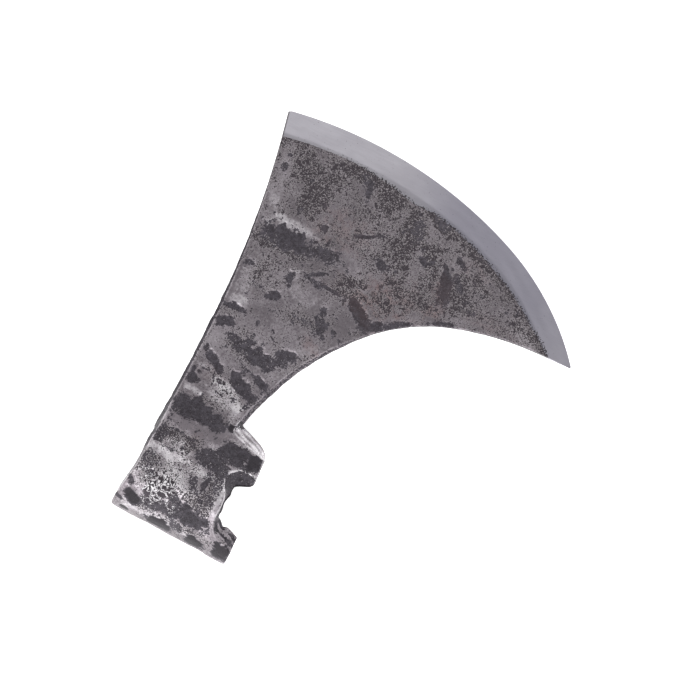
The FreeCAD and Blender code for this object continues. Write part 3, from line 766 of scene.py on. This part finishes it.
def steel_bit(name):
    """The bit: a closed section swept along the edge, from the toe to the heel."""
    count = steps(depth_line(no_depth, 400), GRID * 0.8)
    edge = depth_line(no_depth, count)
    bevel_line = depth_line(bevel_depth, count)
    slope = (BEVEL_HALF - EDGE_HALF) / BEVEL
    upper = []
    for v in np.arange(BEVEL_ROWS + 1) / BEVEL_ROWS:
        line = edge + (bevel_line - edge) * v
        depth = np.clip(edge_depth(line), 0, None)
        half = np.minimum(EDGE_HALF + slope * depth, flank(line[:, 0]))
        waves = 0.035 * ripple(np.column_stack([line, depth * 4]), 14.0, 3.0) * smooth(depth / 3)
        upper.append(np.column_stack([line, half + waves]))
    upper.append(np.column_stack([bevel_line, np.full(count, SHOULDER_HALF)]))
    for v in np.arange(1, TONGUE_ROWS + 1) / TONGUE_ROWS:
        line = depth_line(lambda y: bevel_depth(y) + (TONGUE_DEPTH - bevel_depth(y)) * v, count)
        line[0] += (line[1] - line[0]) * 0.3
        line[-1] += (line[-2] - line[-1]) * 0.3
        half = SHOULDER_HALF + (TONGUE_HALF - SHOULDER_HALF) * v
        upper.append(np.column_stack([line, np.full(count, half)]))
    rings = upper + [ring * (1, 1, -1) for ring in reversed(upper)]

    shell = Shell()
    ids = []
    total = len(rings)
    for i, ring in enumerate(rings):
        y = ring[:, 1]
        hidden = min(i, total - 1 - i) > BEVEL_ROWS
        ragged = smooth((edge_depth(ring[:, :2]) - bevel_depth(y) + 2.2) / 2.2)
        # the bevel is painted darker and bluer below y -20, most from y -65 to -102: a painted dim
        # reflection
        ids.append(shell.add(ring, dark=1.0 if hidden else np.where(np.arange(count) < 2, 0.8, 0.0),
                             blued=smooth((-20 - y) / 45) * (1 - 0.35 * smooth((-102 - y) / 30)),
                             pitted=ragged * (0.4 + 0.5 * smooth((12 - y) / 30))))
    for here, there in zip(ids, ids[1:] + ids[:1]):
        shell.faces += [(here[i], there[i], there[i + 1], here[i + 1]) for i in range(count - 1)]
    for k in range(len(upper) - 1):
        toe, heel = ([ids[row][end] for row in (k, k + 1, total - 2 - k, total - 1 - k)] for end in (0, -1))
        shell.faces += [tuple(reversed(toe)), tuple(heel)]
    return shell.mesh(name, False)


# ---- materials ----

class Nodes:
    """Builds a node material with short calls."""

    def __init__(self, name):
        self.material = bpy.data.materials.new(name)
        self.material.use_nodes = True
        self.tree = self.material.node_tree
        self.shader = self.tree.nodes["Principled BSDF"]

    def node(self, kind, settings=(), inputs=()):
        node = self.tree.nodes.new(kind)
        for key, value in dict(settings).items():
            setattr(node, key, value)
        for key, value in dict(inputs).items():
            self.put(node.inputs[key], value)
        return node

    def put(self, socket, value):
        if isinstance(value, bpy.types.NodeSocket):
            self.tree.links.new(value, socket)
        else:
            socket.default_value = value

    def attribute(self, name):
        return self.node("ShaderNodeAttribute", {"attribute_name": name}).outputs["Fac"]

    def math(self, operation, a, b=0.0):
        return self.node("ShaderNodeMath", {"operation": operation}, {0: a, 1: b}).outputs[0]

    def times(self, a, b):
        return self.math("MULTIPLY", a, b)

    def sum(self, *values):
        total = values[0]
        for value in values[1:]:
            total = self.math("ADD", total, value)
        return total

    def about(self, noise, weight):
        """Noise moved to lie about zero, and weighted."""
        return self.times(self.math("SUBTRACT", noise, 0.5), weight)

    def noise(self, size_mm, detail=3.0, roughness=0.55, vector=None):
        inputs = {"Scale": 1 / (size_mm * MM), "Detail": detail, "Roughness": roughness,
                  "Vector": vector or self.object_place()}
        return self.node("ShaderNodeTexNoise", {"noise_dimensions": "3D"}, inputs).outputs["Fac"]

    def placed(self, **change):
        """Object coordinates with a change of rotation or scale."""
        place = self.node("ShaderNodeTexCoord").outputs["Object"]
        return self.node("ShaderNodeMapping", {}, {"Vector": place, **change}).outputs["Vector"]

    def object_place(self):
        """Object coordinates, turned so that the noise's own grid does not line up with a face."""
        if not hasattr(self, "place"):
            self.place = self.placed(Rotation=(0.7, 0.5, 0.9))
        return self.place

    def step(self, value, low, high):
        """0 below low, 1 above high, and smooth between."""
        node = self.node("ShaderNodeMapRange", {"interpolation_type": "SMOOTHSTEP"},
                         {"Value": value, "From Min": low, "From Max": high})
        return node.outputs["Result"]

    def mix(self, factor, a, b):
        """Colour a at factor 0, b at 1. A mix node's colours are its sockets 6 and 7."""
        return self.node("ShaderNodeMix", {"data_type": "RGBA"}, {0: factor, 6: a, 7: b}).outputs[2]

    def blend(self, factor, a, b):
        """Number a at factor 0, b at 1. A mix node's numbers are its sockets 2 and 3."""
        return self.node("ShaderNodeMix", {"data_type": "FLOAT"}, {0: factor, 2: a, 3: b}).outputs[0]

    def bump(self, height, strength, distance_mm):
        inputs = {"Height": height, "Strength": strength, "Distance": distance_mm * MM}
        return self.node("ShaderNodeBump", {}, inputs).outputs["Normal"]

    def surface(self, **values):
        """The material, with the shader's own sockets set. Their names are written with underscores."""
        for key, value in values.items():
            self.put(self.shader.inputs[key.replace("_", " ")], value)
        return self.material


def forged_iron():
    m = Nodes("forged_iron")
    dark, rubbed, pitted = (m.attribute(key) for key in ("dark", "rubbed", "pitted"))
    rust, blister = m.attribute("rust"), m.attribute("blister")
    cloud, patch, mottle = m.noise(24.0, 2.0), m.noise(4.5, 2.0, 0.5), m.noise(1.9, 3.0, 0.6)
    grain, fine, specks = m.noise(1.1, 2.0, 0.6), m.noise(0.8, 2.0, 0.6), m.noise(0.6, 3.0, 0.66)

    # bare metal, softly clouded and grainy, brighter with wear and painted highlight, darker with painted
    # shade
    tone = m.sum(m.about(cloud, 0.9), m.about(patch, 0.7), m.about(mottle, 0.8), m.about(grain, 0.8),
                 m.times(rubbed, 0.9))
    bare = m.mix(m.step(tone, -0.32, 0.32), (0.13, 0.115, 0.127, 1), (0.245, 0.222, 0.241, 1))
    brown = m.times(rust, m.step(m.sum(mottle, m.about(patch, 1.0)), 0.3, 0.6))
    bare = m.mix(m.times(brown, 0.9), bare, (0.172, 0.112, 0.112, 1))
    rubbed_and_highlight = m.step(m.sum(rubbed, m.about(mottle, 0.6), m.about(grain, 0.6)), 0.1, 1.0)
    bare = m.mix(rubbed_and_highlight, bare, (0.60, 0.575, 0.60, 1))
    # fine dark pits that crowd into a crust, with painted highlight on the metal between them
    level = m.sum(specks, m.times(pitted, 0.17), m.about(patch, 0.15))
    lit = m.times(m.step(level, 0.54, 0.59), m.times(pitted, 0.85))
    bare = m.mix(lit, bare, (0.385, 0.355, 0.365, 1))
    pits = m.step(level, 0.615, 0.64)
    blots = m.step(m.sum(mottle, m.times(pitted, 0.18), m.about(fine, 0.8)), 0.695, 0.73)
    pits = m.math("MAXIMUM", pits, blots)
    colour = m.mix(m.times(pits, 0.96), bare, (0.024, 0.0195, 0.024, 1))
    # blisters: black holes and curling cracks, with bright rings between them that are partly painted
    # highlight on their ridges
    bend = m.math("ABSOLUTE", m.math("SUBTRACT", m.noise(3.4, 1.5, 0.55), 0.5))
    ring = m.times(m.step(bend, 0.012, 0.035), m.math("SUBTRACT", 1.0, m.step(bend, 0.06, 0.085)))
    ring = m.times(ring, m.step(fine, 0.36, 0.46))
    crust = m.mix(ring, (0.034, 0.029, 0.034, 1), (0.55, 0.53, 0.55, 1))
    curled = m.step(m.sum(blister, m.about(mottle, 1.4)), 0.4, 0.6)
    colour = m.mix(curled, colour, crust)
    # dark forge scale stays in the hollows, with a speckled edge; on the walls of the top edge and the
    # beard the same black is painted shade
    edge = m.sum(m.about(fine, 2.2), m.about(specks, 1.3), m.about(mottle, 0.6), dark,
                 m.times(curled, -0.5))
    scale = m.step(edge, 0.57, 0.66)
    patchy = m.step(m.sum(mottle, m.about(specks, 1.2)), 0.3, 0.7)
    black = m.mix(patchy, (0.028, 0.0245, 0.029, 1), (0.064, 0.0575, 0.068, 1))
    black = m.mix(m.step(dark, 1.15, 1.4), black, (0.024, 0.021, 0.025, 1))
    black = m.mix(m.times(rust, 0.45), black, (0.05, 0.034, 0.036, 1))
    colour = m.mix(scale, colour, black)
    dull = m.math("MAXIMUM", scale, pits)
    relief = m.sum(m.times(pits, -0.8), m.times(grain, 0.9), m.times(scale, -0.3), m.times(ring, curled))
    return m.surface(
        Base_Color=colour, Metallic=m.blend(dull, 0.8, 0.06), Specular_IOR_Level=m.blend(dull, 0.35, 0.1),
        Roughness=m.blend(scale, m.blend(rubbed_and_highlight, 0.49, 0.42), 0.55), Normal=m.bump(relief, 0.8, 0.2))


def ground_steel():
    m = Nodes("ground_steel")
    dark, blued, pitted = (m.attribute(key) for key in ("dark", "blued", "pitted"))
    streaks = m.noise(0.9, 4.0, 0.6, m.placed(Scale=(1.0, 0.12, 1.0)))
    cloud = m.noise(18.0, 2.0, 0.5)
    tone = m.sum(m.times(streaks, 0.35), m.times(cloud, 0.65))
    colour = m.mix(m.step(tone, 0.3, 0.7), (0.385, 0.37, 0.408, 1), (0.452, 0.438, 0.476, 1))
    # darker and bluer where the dim reflection is painted
    colour = m.mix(m.times(blued, 0.72), colour, (0.245, 0.236, 0.288, 1))
    crust = m.step(m.sum(m.noise(0.7, 2.0, 0.6), m.times(pitted, 0.28)), 0.70, 0.75)
    colour = m.mix(crust, colour, (0.05, 0.045, 0.05, 1))
    colour = m.mix(dark, colour, (0.11, 0.10, 0.105, 1))
    return m.surface(Base_Color=colour, Metallic=0.9, Roughness=m.blend(streaks, 0.30, 0.42),
                     Normal=m.bump(streaks, 0.12, 0.05))


# ---- pieces ----

def new_object(name, data):
    obj = bpy.data.objects.new(name, data)
    bpy.context.scene.collection.objects.link(obj)
    return obj


def piece(name, data, material):
    obj = new_object(name, data)
    data.materials.append(material)
    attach(obj, "root")
    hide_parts(name.removesuffix("_skin"))


iron, steel = forged_iron(), ground_steel()
upper = cheek("upper_cheek_skin", MARKS + small_marks(5), FIELDS, 1, False, 1.0)
piece("upper_cheek_skin", upper, iron)
lower = cheek("lower_cheek_skin", random_marks(11) + small_marks(6), random_fields(12), -1, True, 20.0)
piece("lower_cheek_skin", lower, iron)
piece("steel_bit_skin", steel_bit("steel_bit_skin"), steel)


# ---- studio ----
# The picture's own axes, from the way the head lies in it: x to the right, y up, z to the camera.
ROLL = math.radians(64.0)                   # turn of the head in the picture
PITCH = math.radians(6.5)                   # how far the edge leans away from the camera
DISTANCE = 1000.0
PICTURE_WIDTH = 319.6                       # at that distance
EYE_IN_PICTURE = (-70.0, -68.0)             # of the eye's centre from the picture's centre
FLOOR_HALF = 6.0                            # half the floor's side, in metres
FLOOR_GAP = 0.6                             # room for the eye's hammered skin

HEAD_X = Vector((math.cos(ROLL) * math.cos(PITCH), math.sin(ROLL) * math.cos(PITCH), -math.sin(PITCH)))
HEAD_Y = Vector((-math.sin(ROLL), math.cos(ROLL), 0.0))
TO_HEAD = Matrix((HEAD_X, HEAD_Y, HEAD_X.cross(HEAD_Y)))


def in_frame(right, up, towards):
    """A place in the frame, in metres, from one in the picture's axes in millimetres."""
    return TO_HEAD @ (Vector((right, up, towards)) - Vector((*EYE_IN_PICTURE, 0.0))) * MM


def camera():
    data = bpy.data.cameras.new("camera")
    data.sensor_width = 36.0
    data.lens = data.sensor_width * DISTANCE / PICTURE_WIDTH
    data.clip_end = 20.0
    obj = new_object("camera", data)
    obj.matrix_world = Matrix.Translation(in_frame(0, 0, DISTANCE)) @ TO_HEAD.to_4x4()
    bpy.context.scene.camera = obj


def area_light(name, place, size, watts):
    data = bpy.data.lights.new(name, "AREA")
    data.shape = "SQUARE"
    data.size = size
    data.energy = watts
    obj = new_object(name, data)
    obj.location = in_frame(*place)
    towards = obj.location - in_frame(0, 0, 0)
    obj.rotation_euler = towards.to_track_quat("Z", "Y").to_euler()


def world_light(world):
    """Soft light from all round, dimmer from straight above."""
    world.use_nodes = True
    nodes, links = world.node_tree.nodes, world.node_tree.links
    place = nodes.new("ShaderNodeTexCoord")
    split = nodes.new("ShaderNodeSeparateXYZ")
    fade = nodes.new("ShaderNodeMapRange")
    fade.interpolation_type = "SMOOTHSTEP"
    for socket, value in (("From Min", 0.62), ("From Max", 0.95), ("To Min", 1.6), ("To Max", 0.38)):
        fade.inputs[socket].default_value = value
    links.new(place.outputs["Generated"], split.inputs["Vector"])
    links.new(split.outputs["Z"], fade.inputs["Value"])
    links.new(fade.outputs["Result"], nodes["Background"].inputs["Strength"])
    nodes["Background"].inputs["Color"].default_value = (1, 1, 1, 1)


def floor():
    """A pale, faintly lit table that the head lies on, at the eye's lower cheek and at the edge."""
    lean = math.asin(EYE_RADIUS / (EDGE_CENTRE[0] + EDGE_RADIUS))
    data = bpy.data.meshes.new("floor")
    corners = [(FLOOR_HALF * x, FLOOR_HALF * y, 0) for x, y in ((-1, -1), (1, -1), (1, 1), (-1, 1))]
    data.from_pydata(corners, [], [(0, 1, 2, 3)])
    obj = new_object("floor", data)
    down = -(EYE_RADIUS + FLOOR_GAP) * MM
    obj.matrix_world = Matrix.Rotation(-lean, 4, "Y") @ Matrix.Translation((0, 0, down))
    paper = Nodes("floor_paper").surface(Base_Color=(0.93, 0.93, 0.93, 1), Roughness=0.9,
                                         Emission_Color=(1, 1, 1, 1), Emission_Strength=0.6)
    data.materials.append(paper)


camera()
floor()
area_light("key", (-400, -780, 760), 0.8, 11.0)
area_light("top", (-150, 800, 700), 1.0, 0.8)
world = bpy.data.worlds.new("studio")
bpy.context.scene.world = world
world_light(world)
bpy.context.scene.view_settings.view_transform = "Standard"
